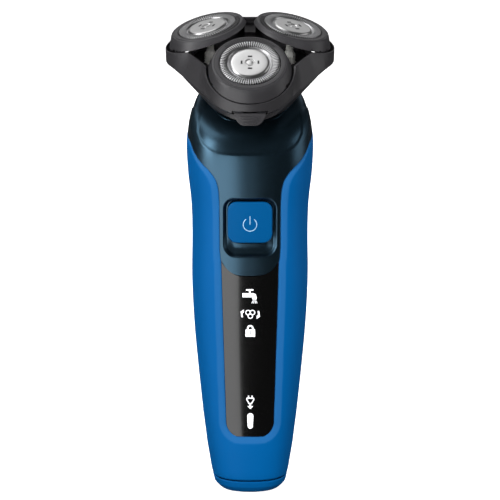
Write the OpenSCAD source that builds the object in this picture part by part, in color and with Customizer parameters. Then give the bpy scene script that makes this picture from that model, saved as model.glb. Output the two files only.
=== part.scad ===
// Cordless rotary shaver with a slim curved grip and a three-head shaving unit.
// Origin at the centre of the flat foot, front towards -Y, right side towards +X.
// Head sizes are measured along the tilted head axis, down from the cap plane.

/* [Handle] */
// Thickness of the grip shells
shell_wall = 1.8; // [1.4:0.1:2.4]
// Squareness of the grip section, 2 is a plain ellipse
section_power = 2.5; // [2:0.1:3.2]
// Height of the seam between the bottom cap and the grip
cap_seam = 6.2; // [4:0.1:9]
// Gap left at the seams between shells
seam_gap = 0.12; // [0.08:0.01:0.3]
// Height of the lower edge of the display lens
lens_low = 24.4; // [22:0.1:34]
// Height of the lens at its sides, where it meets the front cover
lens_high = 90.9; // [80:0.1:94]
// Half width of the lens at its upper end
lens_half = 10.7; // [8:0.1:12]

/* [Power button] */
// Width of the power button
button_wide = 15.7; // [12:0.1:17]
// Height of the power button
button_tall = 14.7; // [12:0.1:17]
// Height of the button centre above the foot
button_level = 104.85; // [98:0.05:108]

/* [Shaving unit] */
// Forward tilt of the shaving unit, in degrees
head_tilt = 21.5; // [10:0.5:30]
// Distance from the head axis to the centre of each cap
head_radius = 17.62; // [16.5:0.01:19]
// Outward tilt of each cap, in degrees
cap_tilt = 15.5; // [8:0.5:18]
// Radius of each metal cap
cap_radius = 10.45; // [9:0.05:10.5]
// Radius of the skirt around each cap at its lower edge
skirt_radius = 14.9; // [13.6:0.1:15.2]

/* [Gear train] */
// Gear module
gear_module = 0.72; // [0.5:0.01:0.8]
// Teeth on the centre gear
sun_teeth = 20; // [14:1:24]
// Teeth on each of the three outer gears
planet_teeth = 25; // [20:1:28]
// Backlash taken off every tooth
backlash = 0.16; // [0.05:0.01:0.3]
// Face width of the gears
gear_face = 2.2; // [1.5:0.1:2.4]

/* [Inside] */
// Diameter of the battery cell
cell_dia = 14; // [10:0.5:14.5]
// Length of the battery cell
cell_long = 50; // [44:0.5:65]
// Diameter of the motor can
motor_dia = 15; // [10:0.5:15]
// Length of the motor can
motor_long = 15.5; // [10:0.5:17]

/* [Hidden] */
charcoal = [0.26, 0.26, 0.27];
teal = [0.10, 0.22, 0.28];
blue = [0.17, 0.42, 0.68];
deep_blue = [0.05, 0.30, 0.55];
black = [0.05, 0.05, 0.06];
steel = [0.78, 0.79, 0.80];
white = [0.92, 0.93, 0.95];
green = [0.12, 0.36, 0.22];
brass = [0.80, 0.66, 0.34];
// Stations up the handle: height, half width, front, back
stations = [[0, 7.8, -7.2, 6.8], [1.3, 11.1, -10.1, 9.3], [3.6, 13.2, -12, 10.9],
            [9, 14.4, -13.2, 12], [18, 15.8, -14.3, 13.3], [30, 17.25, -15.3, 14.9],
            [47, 18.9, -16.2, 16.9], [64, 20.3, -17, 18.9], [81, 21, -17.6, 20.8],
            [98, 20.8, -18.2, 22.4], [109, 21.1, -18.6, 23.4], [120, 22.2, -19.6, 24.2],
            [130, 22.55, -20.2, 24.4], [137, 21.9, -18.3, 23.8], [142, 20.7, -15.6, 22.8],
            [147, 18.9, -12.6, 21], [153, 16, -9, 18], [160, 12, -5, 14]];
head_origin = [0, -4, 167.84];
neck_drop = 24.2;
post_radius = gear_module * (sun_teeth + planet_teeth) / 2;
gear_low = -17.4;
gear_top = gear_low + gear_face;
hinge_y = 24.5;
hinge_z = -14.5;

// Smooth reading of the station list between its heights
function span(z, i = 0) = i >= len(stations) - 2 || z < stations[i + 1][0] ? i : span(z, i + 1);
function mixed(a, b, c, d, t) = b + 0.5 * t * (c - a + t * (2 * a - 5 * b + 4 * c - d
  + t * (3 * (b - c) + d - a)));
function station(z) = let(
    i = span(z),
    a = stations[max(i - 1, 0)],
    b = stations[i],
    c = stations[i + 1],
    d = stations[min(i + 2, len(stations) - 1)],
    t = (z - b[0]) / (c[0] - b[0]))
  [for (k = [1 : 3]) mixed(a[k], b[k], c[k], d[k], t)];

// One section of the grip, shrunk by a wall, as a closed loop of points
function bent(v) = sign(v) * pow(abs(v), 2 / section_power);
function loop(z, wall, count) = let(
    s = station(z),
    mid = (s[1] + s[2]) / 2,
    deep = (s[2] - s[1]) / 2 - wall)
  [for (j = [0 : count - 1]) let(t = 360 * (j + 0.5) / count)
    [(s[0] - wall) * bent(cos(t)), mid + deep * bent(sin(t)), z]];

module skin(loops) {
  n = len(loops[0]);
  m = len(loops);
  sides = [for (i = [0 : m - 2]) for (j = [0 : n - 1]) let(k = (j + 1) % n)
    for (f = [[i * n + j, (i + 1) * n + j, i * n + k],
              [i * n + k, (i + 1) * n + j, (i + 1) * n + k]]) f];
  floor_face = [for (j = [0 : n - 1]) j];
  roof_face = [for (j = [n - 1 : -1 : 0]) (m - 1) * n + j];
  polyhedron([for (r = loops) for (p = r) p], concat([floor_face], sides, [roof_face]));
}

// Levels where the outer and the inner skins are cut
outer_levels = [0, 0.6, 1.3, 2.4, 4.2, cap_seam, 9, 15, 22, 30, 40, 50, 60, 70, 80, 90,
                98, 105, 112, 118, 124, 128, 131, 134, 137, 140, 143, 147, 153, 160];
inner_levels = [2, cap_seam, 15, 30, 50, 70, 90, 109, 124, 131, 137, 142, 147, 153, 160];
module outer() {
  skin([for (z = outer_levels) loop(z, 0, 40)]);
}
module inner(wall) {
  skin([for (z = inner_levels) loop(z, wall, 32)]);
}
module hollow(wall = shell_wall) {
  difference() {
    outer();
    inner(wall);
  }
}

// Frames of the tilted shaving unit, of each cap and of each gear post
module head() {
  translate(head_origin) rotate([head_tilt, 0, 0]) children();
}
module petal(k) {
  head() rotate([0, 0, 120 * k]) translate([0, -head_radius, 0])
    rotate([cap_tilt, 0, 0]) children();
}
module post(k) {
  head() rotate([0, 0, 120 * k]) translate([0, -post_radius, 0]) children();
}
// Everything above the neck plane, which is cut from the handle shells
module above_neck() {
  head() translate([-60, -60, -neck_drop]) cube([120, 120, 80]);
}

// Flat outlines seen from the front, pushed through the grip
module through(y0, y1) {
  translate([0, y1, 0]) rotate([90, 0, 0]) linear_extrude(y1 - y0) children();
}
module rounded(w, h, r) {
  for (x = [-1, 1]) {
    for (y = [-1, 1]) {
      translate([x * (w / 2 - r), y * (h / 2 - r)]) circle(r, $fn = 32);
    }
  }
  square([w - 2 * r, h], center = true);
  square([w, h - 2 * r], center = true);
}
arc_depth = 5.7;
function lens_arc(g) = [for (i = [-8 : 8]) let(u = i / 8)
  [u * (lens_half + g), lens_high - arc_depth * (1 - u * u) + g]];
module lens_outline(g) {
  low = lens_half - 1.7;
  corner = 3;
  left = [for (i = [0 : 4]) let(t = 180 + 90 * i / 4)
    [-low + corner - g + corner * cos(t), lens_low + corner - g + corner * sin(t)]];
  right = [for (i = [0 : 4]) let(t = 270 + 90 * i / 4)
    [low - corner + g + corner * cos(t), lens_low + corner - g + corner * sin(t)]];
  top = lens_arc(g);
  polygon(concat(left, right, [for (i = [len(top) - 1 : -1 : 0]) top[i]]));
}
cover_side = [[10.8, 91], [11.1, 94.6], [11.1, 105.5], [11.4, 116.7], [12.2, 119.5],
              [13.5, 121.6], [15.2, 123.6], [16.9, 124.8], [18.5, 126.6], [20.2, 129.2],
              [21.3, 132], [21.8, 134], [22.3, 136], [40, 137], [40, 175]];
// Depth at which the shoulders part from the rear of the grip
shoulder_back = 6;
module cover_outline(g) {
  right = [for (p = cover_side) [p[0] + g, p[1] - g * 0.6]];
  left = [for (i = [len(right) - 1 : -1 : 0]) [-right[i][0], right[i][1]]];
  polygon(concat(lens_arc(0), right, left));
}
module rear_outline(g) {
  translate([0, 74]) rounded(24 + 2 * g, 104 + 2 * g, 11.9 + g);
}

module grip_housing() {
  color(blue) resize([0, 0, 0]) difference() {
    hollow();
    translate([-40, -40, -1]) cube([80, 80, cap_seam + 1 + seam_gap]);
    through(-60, shoulder_back) union() {
      lens_outline(seam_gap);
      cover_outline(seam_gap);
      translate([0, lens_high]) square([22, 3], center = true);
    }
    through(4, 60) rear_outline(seam_gap);
    above_neck();
  }
}

// Front cover with the shoulders and the deck that closes the handle under the shaving unit
deck_thick = 2;
module front_cover() {
  color(teal) resize([0, 0, 0]) difference() {
    union() {
      intersection() {
        hollow();
        through(-60, shoulder_back - seam_gap) cover_outline(0);
      }
      intersection() {
        union() {
          inner(shell_wall + 0.1);
          intersection() {
            outer();
            translate([-40, -60 + shoulder_back - seam_gap, 137]) cube([80, 60, 30]);
          }
        }
        head() translate([-40, -40, -neck_drop - deck_thick]) cube([80, 80, deck_thick + 1]);
      }
    }
    through(-60, -8) translate([0, button_level - 1.85]) rounded(18.9, 21.2, 4.2);
    above_neck();
    head() translate([0, 0, -40]) cylinder(r = 13.45, h = 30, $fn = 72);
  }
}

module rear_cover() {
  color(black) resize([0, 0, 0]) intersection() {
    hollow();
    through(4, 60) rear_outline(0);
  }
}

// Small marks of the display: a tap, three heads, a padlock, a plug and a charge bar
module icon_shapes() {
  translate([0, 77.8]) {
    square([1.5, 2.2], center = true);
    translate([0.9, 0.3]) square([2.3, 0.8], center = true);
    translate([0, 1.4]) square([2.2, 0.6], center = true);
    translate([1.9, -1]) circle(0.45, $fn = 16);
  }
  translate([0, 71.8]) {
    translate([0, -0.9]) circle(0.8, $fn = 20);
    translate([-1, 0.8]) circle(0.8, $fn = 20);
    translate([1, 0.8]) circle(0.8, $fn = 20);
  }
  translate([0, 65.3]) {
    translate([0, -0.6]) square([2.2, 1.7], center = true);
    difference() {
      translate([0, 0.5]) circle(0.95, $fn = 20);
      translate([0, 0.5]) circle(0.55, $fn = 20);
      translate([0, -1]) square([3, 2.4], center = true);
    }
  }
  translate([0, 40.3]) {
    square([2.2, 1.4], center = true);
    translate([-0.6, 1]) square([0.4, 0.9], center = true);
    translate([0.6, 1]) square([0.4, 0.9], center = true);
    translate([0, -1.1]) square([0.4, 1.1], center = true);
    polygon([[-0.8, -1.5], [0.8, -1.5], [0, -2.4]]);
  }
  translate([0, 31.9]) {
    difference() {
      rounded(2.6, 6.2, 0.5);
      rounded(1.9, 5.5, 0.3);
    }
    translate([0, 3.4]) square([1.1, 0.5], center = true);
    translate([0, -1.2]) square([1.3, 2.3], center = true);
  }
}

module display_lens() {
  color(black) resize([0, 0, 0]) difference() {
    intersection() {
      hollow();
      through(-60, -8) lens_outline(0);
    }
    through(-60, -8) icon_shapes();
  }
}

// Clear inlays that run through the lens and carry the light of each mark
module display_icons() {
  color(white) resize([0, 0, 0]) intersection() {
    hollow();
    through(-60, -8) icon_shapes();
  }
}

module bottom_cap() {
  color(blue) resize([0, 0, 0]) difference() {
    outer();
    translate([-40, -40, cap_seam]) cube([80, 80, 200]);
    translate([0, 0, 2.4]) scale([0.84, 0.84, 1]) intersection() {
      outer();
      translate([-40, -40, 1]) cube([80, 80, 20]);
    }
    translate([0, 0, -1]) linear_extrude(6) rounded(9.9, 6.7, 3.3);
  }
}

// Two-pin charging inlet, an oval well in the middle of the foot
module charge_socket() {
  color(black) difference() {
    translate([0, 0, 0.3]) linear_extrude(8.7) rounded(9.8, 6.6, 3.25);
    translate([0, 0, 0.2]) linear_extrude(6.6) rounded(7.6, 4.4, 2.15);
    for (x = [-1.8, 1.8]) {
      translate([x, 0, 1]) cylinder(r = 0.6, h = 12, $fn = 24);
    }
  }
}
module socket_pins() {
  color(brass) for (x = [-1.8, 1.8]) {
    translate([x, 0, 2.2]) cylinder(r = 0.6, h = 8.3, $fn = 24);
  }
}

module neck_ring() {
  color(steel) head() translate([0, 0, -27.6]) difference() {
    cylinder(r = 13.4, h = 3.4, $fn = 96);
    translate([0, 0, -1]) cylinder(r = 11.56, h = 6, $fn = 96);
  }
}
module neck_seal() {
  color(black) head() translate([0, 0, -28.6]) difference() {
    cylinder(r = 13.6, h = 0.9, $fn = 72);
    translate([0, 0, -1]) cylinder(r = 11.9, h = 3, $fn = 72);
  }
}

module button_bezel() {
  color(black) {
    through(-17.3, -15.6) difference() {
      translate([0, button_level - 1.85]) rounded(18.7, 21, 4.1);
      translate([0, button_level]) rounded(button_wide + 0.5, button_tall + 0.5, 3.45);
    }
    through(-15.6, -14.9) difference() {
      translate([0, button_level - 1.85]) rounded(18.7, 21, 4.1);
      translate([0, button_level]) circle(3, $fn = 48);
    }
  }
}
module power_button() {
  color(deep_blue) {
    through(-18.7, -16.9) translate([0, button_level])
      rounded(button_wide, button_tall, 3.2);
    through(-16.9, -15.15) translate([0, button_level]) circle(2.2, $fn = 48);
  }
}
module power_symbol() {
  color([0.55, 0.78, 0.95]) through(-18.85, -18.7) translate([0, button_level - 0.25]) {
    difference() {
      circle(1.85, $fn = 48);
      circle(1.45, $fn = 48);
      translate([0, 1.5]) square([1.7, 1.8], center = true);
    }
    translate([0, 1.4]) square([0.4, 1.9], center = true);
  }
}

module button_switch() {
  color(black) {
    translate([-3, -13, button_level - 3]) cube([6, 2.8, 6]);
    translate([0, -13, button_level]) rotate([90, 0, 0]) cylinder(r = 1.5, h = 1.45, $fn = 32);
  }
}
module control_board() {
  color(green) {
    translate([-8, -10.2, 21]) cube([16, 1.5, 91]);
    translate([-4.5, -8.7, 88]) cube([6, 0.9, 6]);
    translate([-4.5, -8.7, 96]) cube([9, 0.9, 3]);
  }
}
led_levels = [77.8, 71.8, 65.3, 40.3, 31.9];
module status_leds() {
  color(white) for (z = led_levels) {
    translate([-0.9, -11.1, z - 0.8]) cube([1.8, 0.9, 1.6]);
  }
}
module light_guide() {
  color(white) difference() {
    translate([-4.6, -12.9, 27.6]) cube([9.2, 2.6, 54]);
    for (z = led_levels) {
      translate([-1.5, -14, z - 1.6]) cube([3, 5, 3.2]);
    }
  }
}

// Tray that carries the cell, the board and the motor bracket
module chassis() {
  color(charcoal) {
    difference() {
      translate([-9.6, -7.6, 13]) cube([19.2, 1.4, 98]);
      translate([-6, -9, 18]) cube([12, 4, 1.2]);
    }
    for (z = [18.6, 75]) {
      translate([-7.5, -6.2, z]) cube([15, 13.6, 1.2]);
    }
    for (x = [-9.6, 8.2]) {
      translate([x, -6.2, 18.6]) cube([1.4, 8, 57.6]);
    }
    for (z = [24, 60, 108]) {
      for (x = [-7, 5]) {
        translate([x, -8.7, z]) cube([2, 1.1, 2]);
      }
    }
  }
}
module battery_cell() {
  color([0.2, 0.5, 0.35]) translate([0, 2.1, 22]) {
    cylinder(d = cell_dia, h = cell_long, $fn = 72);
    translate([0, 0, cell_long]) cylinder(r = 2.6, h = 1, $fn = 48);
  }
}
module battery_tabs() {
  color(steel) {
    translate([-2.5, -4, 21.6]) cube([5, 8, 0.35]);
    translate([-2.5, -4, 73.1]) cube([5, 8, 0.35]);
  }
}

module motor_can() {
  color(steel) head() translate([0, 0, -31 - motor_long]) difference() {
    union() {
      cylinder(d = motor_dia, h = motor_long, $fn = 72);
      translate([0, 0, -1]) cylinder(r = 2.4, h = 1, $fn = 48);
    }
    translate([0, 0, 3]) cylinder(r = 1.05, h = motor_long, $fn = 48);
  }
}
module motor_bracket() {
  color(steel) head() translate([0, 0, -31]) difference() {
    union() {
      cylinder(r = 13.2, h = 1.2, $fn = 72);
      for (a = [45, 135, 225, 315]) {
        rotate(a) translate([12.4, 0, 1.2]) cylinder(r = 0.8, h = 1.2, $fn = 32);
      }
    }
    translate([0, 0, -1]) cylinder(r = 2.6, h = 4, $fn = 48);
  }
}
module motor_shaft() {
  color(steel) head() translate([0, 0, -42]) cylinder(r = 1, h = 16, $fn = 48);
}
module drive_coupling() {
  color(white) head() difference() {
    union() {
      translate([0, 0, -28.8]) cylinder(r = 3.8, h = 3.6, $fn = 48);
      translate([0, 0, -25.2]) cylinder(r = 2.5, h = 4, $fn = 6);
    }
    translate([0, 0, -30]) cylinder(r = 1, h = 4, $fn = 48);
  }
}

// Involute gear outline with a tooth centred on the x axis
function inv_angle(rb, r) = let(a = acos(min(1, rb / r))) tan(a) * 180 / PI - a;
function gear_points(teeth) = let(
    rp = gear_module * teeth / 2,
    rb = rp * cos(20),
    ra = rp + 0.95 * gear_module,
    rf = rp - 1.2 * gear_module,
    half = 90 / teeth - backlash / rp * 90 / PI + inv_angle(rb, rp),
    r0 = max(rb, rf))
  [for (i = [0 : teeth - 1]) let(c = 360 * i / teeth)
    each concat(
      [[rf * cos(c - 180 / teeth), rf * sin(c - 180 / teeth)]],
      [[rf * cos(c - half), rf * sin(c - half)]],
      [for (k = [0 : 4]) let(r = r0 + (ra - r0) * k / 4, t = c - half + inv_angle(rb, r))
        [r * cos(t), r * sin(t)]],
      [for (k = [4 : -1 : 0]) let(r = r0 + (ra - r0) * k / 4, t = c + half - inv_angle(rb, r))
        [r * cos(t), r * sin(t)]],
      [[rf * cos(c + half), rf * sin(c + half)]])];

module sun_gear() {
  color(white) head() difference() {
    union() {
      translate([0, 0, gear_low]) linear_extrude(gear_face) polygon(gear_points(sun_teeth));
      translate([0, 0, -24]) cylinder(r = 4.2, h = 24 + gear_low, $fn = 64);
    }
    translate([0, 0, -25]) cylinder(r = 2.9, h = 4.4, $fn = 6);
  }
}
module planet(k) {
  phi = 120 * k - 90;
  pitch = 360 / sun_teeth;
  ahead = round(phi / pitch) - phi / pitch;
  // The frame of this gear is turned so that its own -y axis points away from the sun
  local = 90 - ahead * 360 / planet_teeth + 180 / planet_teeth;
  color(white) post(k) difference() {
    union() {
      translate([0, 0, gear_low]) linear_extrude(gear_face) rotate(local)
        polygon(gear_points(planet_teeth));
      translate([0, 0, gear_top]) cylinder(r = 2.1, h = 4.2, $fn = 48);
      translate([0, 0, gear_top + 4.2]) cylinder(r1 = 2.1, r2 = 1.3, h = 1.5, $fn = 48);
      translate([0, 0, gear_top + 5.7]) cylinder(r = 1.3, h = 5.3, $fn = 48);
    }
    translate([0, 0, gear_low - 1]) cylinder(r = 1.25, h = 6, $fn = 48);
  }
}

module lobes(z, h, centre, r) {
  for (k = [0 : 2]) {
    rotate([0, 0, 120 * k]) translate([0, -centre, z]) cylinder(r = r, h = h, $fn = 48);
  }
}
// Funnel of the shaving unit that catches the hair and holds the gears
module hair_chamber() {
  color(charcoal) resize([0, 0, 0]) head() difference() {
    union() {
      hull() lobes(-17.6, 3.4, post_radius, 11);
      hull() {
        lobes(-17.7, 0.2, post_radius, 11);
        translate([0, 0, -23.9]) cylinder(r = 15.5, h = 0.4, $fn = 72);
      }
    }
    hull() lobes(-17.9, 8, post_radius, 10.35);
    translate([0, 0, -30]) cylinder(r = 10.05, h = 10.2, $fn = 72);
    translate([0, 0, -30]) cylinder(r = 4.7, h = 20, $fn = 48);
    translate([-2.9, -32, -18.6]) cube([5.8, 8, 3.2]);
  }
}
module neck_plug() {
  color(charcoal) head() difference() {
    union() {
      translate([0, 0, -27.3]) cylinder(r = 11.5, h = 3.4, $fn = 96);
      translate([0, 0, -23.9]) cylinder(r = 10, h = 4.1, $fn = 72);
      translate([0, 0, -19.8]) cylinder(r = 4.65, h = 1.7, $fn = 48);
    }
    translate([0, 0, -30]) cylinder(r = 8.8, h = 8.4, $fn = 72);
    translate([0, 0, -30]) cylinder(r = 4.25, h = 20, $fn = 64);
  }
}
module gear_posts() {
  color(steel) for (k = [0 : 2]) {
    post(k) translate([0, 0, -17.9]) cylinder(r = 1.2, h = 5.2, $fn = 48);
  }
}
module gear_cover() {
  color(black) resize([0, 0, 0]) head() difference() {
    hull() lobes(-14.8, 1, post_radius, 10.25);
    for (k = [0 : 2]) {
      rotate([0, 0, 120 * k]) translate([0, -post_radius, -16])
        cylinder(r = 2.7, h = 4, $fn = 36);
    }
  }
}

// Rear hinge of the shaving unit
module hinge_lugs() {
  color(charcoal) head() difference() {
    union() {
      for (x = [-12, 9]) {
        translate([x, hinge_y, hinge_z]) rotate([0, 90, 0]) cylinder(r = 2, h = 3, $fn = 48);
        translate([x, 19.2, hinge_z - 2]) cube([3, 5.3, 2.2]);
      }
    }
    translate([-20, hinge_y, hinge_z]) rotate([0, 90, 0]) cylinder(r = 1, h = 40, $fn = 48);
  }
}
module hinge_pin() {
  color(steel) head() translate([-12, hinge_y, hinge_z]) rotate([0, 90, 0])
    cylinder(r = 1, h = 24, $fn = 48);
}
module hinge_knuckle() {
  color(charcoal) head() difference() {
    union() {
      translate([-8.7, hinge_y, hinge_z]) rotate([0, 90, 0]) cylinder(r = 2, h = 17.4, $fn = 48);
      translate([-8.7, 22.6, hinge_z]) cube([17.4, 2.4, 4]);
    }
    translate([-20, hinge_y, hinge_z]) rotate([0, 90, 0]) cylinder(r = 1.05, h = 40, $fn = 48);
  }
}

module tab_outline() {
  polygon([[-5.5, 145], [-5.5, 143.7], [-4.4, 142], [-3.3, 141], [-2.2, 140.6],
           [2.2, 140.6], [3.3, 141], [4.4, 142], [5.5, 143.7], [5.5, 145]]);
}
module release_tab() {
  color(charcoal) {
    through(-27.7, -26.3) tab_outline();
    for (z = [141.5, 142.6, 143.7]) {
      through(-28, -27.7) translate([0, z]) square([5.6, 0.45], center = true);
    }
    translate([-2.3, -26.3, 141.1]) cube([4.6, 3.1, 1.6]);
  }
}

// Three-lobed frame under the skirts. Its walls lean in, follow the lower edges of the
// rings, run straight between them and end below in a bevel.
skirt_slope = atan(3 / 29.8);
// How much farther out the frame reaches at its two rear corners
frame_wide = 0.9;
module frame_disc(r, z, h, k, lean = 0, wide = 0) {
  translate([wide * [0, 1, -1][k], 0, 0]) rotate([0, 0, 120 * k])
    translate([0, -head_radius, 0]) rotate([cap_tilt, 0, 0])
    translate([0, 0, z]) rotate([lean, 0, 0]) cylinder(r = r, h = h, $fn = 48);
}
module head_frame() {
  color(charcoal) resize([0, 0, 0]) difference() {
    head() difference() {
      hull() {
        for (k = [0 : 2]) {
          frame_disc(15.3, -3.75, 0.1, k, skirt_slope, frame_wide);
          frame_disc(16.3, -9.2, 0.2, k, 0, frame_wide);
          frame_disc(15.1, -11.2, 0.2, k, 0, frame_wide);
        }
      }
      hull() {
        for (k = [0 : 2]) {
          frame_disc(12.6, 2, 0.1, k, skirt_slope);
          frame_disc(14.65, -24, 15.7, k);
        }
      }
      for (k = [0 : 2]) {
        frame_disc(15.06, -5.37, 12, k);
      }
      for (x = [-12.4, 8.6]) {
        translate([x, 20, -18]) cube([3.8, 10, 6]);
      }
      translate([-8.75, 22.3, -18.1]) cube([17.5, 10, 7.6]);
    }
    translate([-5.8, -40, 140]) cube([11.6, 15.4, 5.3]);
  }
}
// Rib between the two rear heads
module frame_rib() {
  color([0.4, 0.4, 0.42]) head() {
    translate([-1.9, 14, -11.9]) cube([3.8, 7.4, 6.4]);
    translate([-2.6, 19.4, -5.5]) cube([5.2, 2.35, 1]);
  }
}
module retaining_plate() {
  color(black) resize([0, 0, 0]) head() difference() {
    hull() lobes(-12.9, 1, post_radius, 12.2);
    for (k = [0 : 2]) {
      rotate([0, 0, 120 * k]) {
        translate([0, -post_radius, -14]) cylinder(r = 6.4, h = 4, $fn = 48);
        translate([-5.2, -40, -14]) cube([10.4, 15.4, 4]);
      }
    }
    translate([0, 0, -14]) cylinder(r = 3, h = 4, $fn = 36);
  }
}

// Each ring swings on a pin low at its outer edge
pin_y = -11.9;
pin_z = -9.5;
module pivot_blocks() {
  color(charcoal) for (k = [0 : 2]) {
    for (x = [2.2, -3.9]) {
      petal(k) difference() {
        translate([x, -13.9, pin_z - 1]) cube([1.7, 3.3, 2]);
        translate([-8, pin_y, pin_z]) rotate([0, 90, 0]) cylinder(r = 0.76, h = 16, $fn = 36);
      }
    }
  }
}
module ring(k) {
  color(charcoal) petal(k) union() {
    difference() {
      rotate_extrude($fn = 96) polygon([[cap_radius + 0.05, -0.2], [12.2, -0.3], [12.8, -0.8],
        [13.8, -2.3], [skirt_radius, -5], [skirt_radius - 1.3, -5], [12.7, -2.6],
        [11.3, -2], [11.3, -3.4], [cap_radius + 0.05, -3.4]]);
      translate([0, -14.9, -5]) rotate([skirt_slope, 0, 0]) translate([-30, -5, -20])
        cube([60, 60, 20]);
    }
    translate([-2, -12.7, pin_z - 0.8]) cube([4, 1.5, 8.2]);
    translate([-3.8, pin_y, pin_z]) rotate([0, 90, 0]) cylinder(r = 0.7, h = 7.6, $fn = 36);
  }
}
module guard(k) {
  color(steel) petal(k) rotate_extrude($fn = 96) polygon([[6.9, -1.1], [6.9, -0.6],
    [8.3, -0.6], [8.7, -0.1], [9.2, 0], [10, 0], [cap_radius, -0.35], [cap_radius, -3.3],
    [9.95, -3.3], [9.95, -0.7], [9.1, -0.5], [8.5, -1.1]]);
}
module guard_disc(k) {
  color(steel) petal(k) rotate_extrude($fn = 96) polygon([[0, -0.15], [1.2, -0.15],
    [1.4, -0.3], [1.6, -0.1], [5.8, -0.05], [6.84, -0.5], [6.84, -1.1], [0, -1.1]]);
}
module cutter(k) {
  color(steel) petal(k) {
    difference() {
      translate([0, 0, -2]) cylinder(r = 9.3, h = 0.6, $fn = 72);
      translate([0, 0, -3]) cylinder(r = 3.1, h = 4, $fn = 48);
    }
    for (i = [0 : 14]) {
      rotate([0, 0, 24 * i]) translate([8.7, -0.35, -1.7]) cube([0.5, 0.7, 0.55]);
    }
  }
}
module carrier(k) {
  color(deep_blue) petal(k) difference() {
    union() {
      translate([0, 0, -6]) cylinder(r = 4, h = 4, $fn = 64);
      translate([0, 0, -2]) cylinder(r = 3.05, h = 0.6, $fn = 48);
    }
    translate([0, 0, -7]) cylinder(r = 3.1, h = 4.6, $fn = 48);
  }
}

grip_housing();
front_cover();
rear_cover();
display_lens();
display_icons();
bottom_cap();
charge_socket();
socket_pins();
neck_ring();
neck_seal();
button_bezel();
button_switch();
control_board();
status_leds();
light_guide();
chassis();
battery_cell();
battery_tabs();
motor_can();
motor_bracket();
power_button();
power_symbol();
motor_shaft();
drive_coupling();
hair_chamber();
neck_plug();
gear_posts();
gear_cover();
hinge_lugs();
hinge_pin();
sun_gear();
planet(0);  // planet_front
planet(1);  // planet_right
planet(2);  // planet_left
release_tab();
head_frame();
frame_rib();
hinge_knuckle();
retaining_plate();
pivot_blocks();
ring(0);  // ring_front
ring(1);  // ring_right
ring(2);  // ring_left
guard(0);  // guard_front
guard(1);  // guard_right
guard(2);  // guard_left
guard_disc(0);  // disc_front
guard_disc(1);  // disc_right
guard_disc(2);  // disc_left
cutter(0);  // cutter_front
cutter(1);  // cutter_right
cutter(2);  // cutter_left
carrier(0);  // carrier_front
carrier(1);  // carrier_right
carrier(2);  // carrier_left
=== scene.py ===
import math

import bmesh
import bpy
from mathutils import Matrix, Vector
from mathutils.kdtree import KDTree


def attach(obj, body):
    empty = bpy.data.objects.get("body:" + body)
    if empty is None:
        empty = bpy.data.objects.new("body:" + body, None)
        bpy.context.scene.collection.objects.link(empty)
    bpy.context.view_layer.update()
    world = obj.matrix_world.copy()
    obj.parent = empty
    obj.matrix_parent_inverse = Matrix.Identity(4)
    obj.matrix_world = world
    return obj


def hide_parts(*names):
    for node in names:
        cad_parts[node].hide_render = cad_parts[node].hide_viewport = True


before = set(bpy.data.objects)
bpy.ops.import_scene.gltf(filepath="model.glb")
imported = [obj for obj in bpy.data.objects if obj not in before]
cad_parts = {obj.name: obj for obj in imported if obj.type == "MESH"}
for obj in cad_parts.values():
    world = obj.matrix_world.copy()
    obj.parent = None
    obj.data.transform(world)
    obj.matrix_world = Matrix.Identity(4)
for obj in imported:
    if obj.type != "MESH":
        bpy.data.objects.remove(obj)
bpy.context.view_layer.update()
MM = 0.001

# ---- Floor, lights and camera ----
# A pale sweep behind and under the shaver, a large soft light on its left, a weak one on
# its right and a gentle one above, as for a catalogue picture.
scene = bpy.context.scene
sweep = bpy.data.meshes.new("studio_sweep")
bm = bmesh.new()
SWEEP_HALF = 3.0
SWEEP_NEAR = -2.2
SWEEP_BACK = 1.3
SWEEP_RADIUS = 0.5
edge = [bm.verts.new((-SWEEP_HALF, SWEEP_NEAR, 0)), bm.verts.new((SWEEP_HALF, SWEEP_NEAR, 0))]
bm.edges.new(edge)
run = bmesh.ops.extrude_edge_only(bm, edges=bm.edges[:])["geom"]
bmesh.ops.translate(bm, vec=(0, SWEEP_BACK - SWEEP_NEAR, 0),
                    verts=[g for g in run if isinstance(g, bmesh.types.BMVert)])
last = [g for g in run if isinstance(g, bmesh.types.BMEdge)]
bmesh.ops.spin(bm, geom=last, cent=(0, SWEEP_BACK, SWEEP_RADIUS), axis=(1, 0, 0),
               angle=math.pi / 2, steps=16)
bmesh.ops.recalc_face_normals(bm, faces=bm.faces[:])
bm.to_mesh(sweep)
bm.free()
sweep.polygons.foreach_set("use_smooth", [True] * len(sweep.polygons))
studio_floor = bpy.data.objects.new("studio_sweep", sweep)
scene.collection.objects.link(studio_floor)
studio_floor.visible_glossy = False
studio_floor.visible_diffuse = False
# A white card lies on the paper in front, to the left: it is what the polished lens mirrors.
CARD_HALF = (0.5, 0.9, 1)
CARD_PLACE = (-0.25, -0.47, 0.00005)
CARD_LEAN = 0.165
bm = bmesh.new()
bmesh.ops.create_grid(bm, x_segments=2, y_segments=2, size=0.5)
bmesh.ops.scale(bm, vec=CARD_HALF, verts=bm.verts[:])
bmesh.ops.translate(bm, vec=CARD_PLACE, verts=bm.verts[:])
for vert in bm.verts:
    vert.co.x += CARD_LEAN * vert.co.y
card_mesh = bpy.data.meshes.new("floor_card")
bm.to_mesh(card_mesh)
bm.free()
floor_card = bpy.data.objects.new("floor_card", card_mesh)
scene.collection.objects.link(floor_card)
floor_card.visible_diffuse = False

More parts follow.
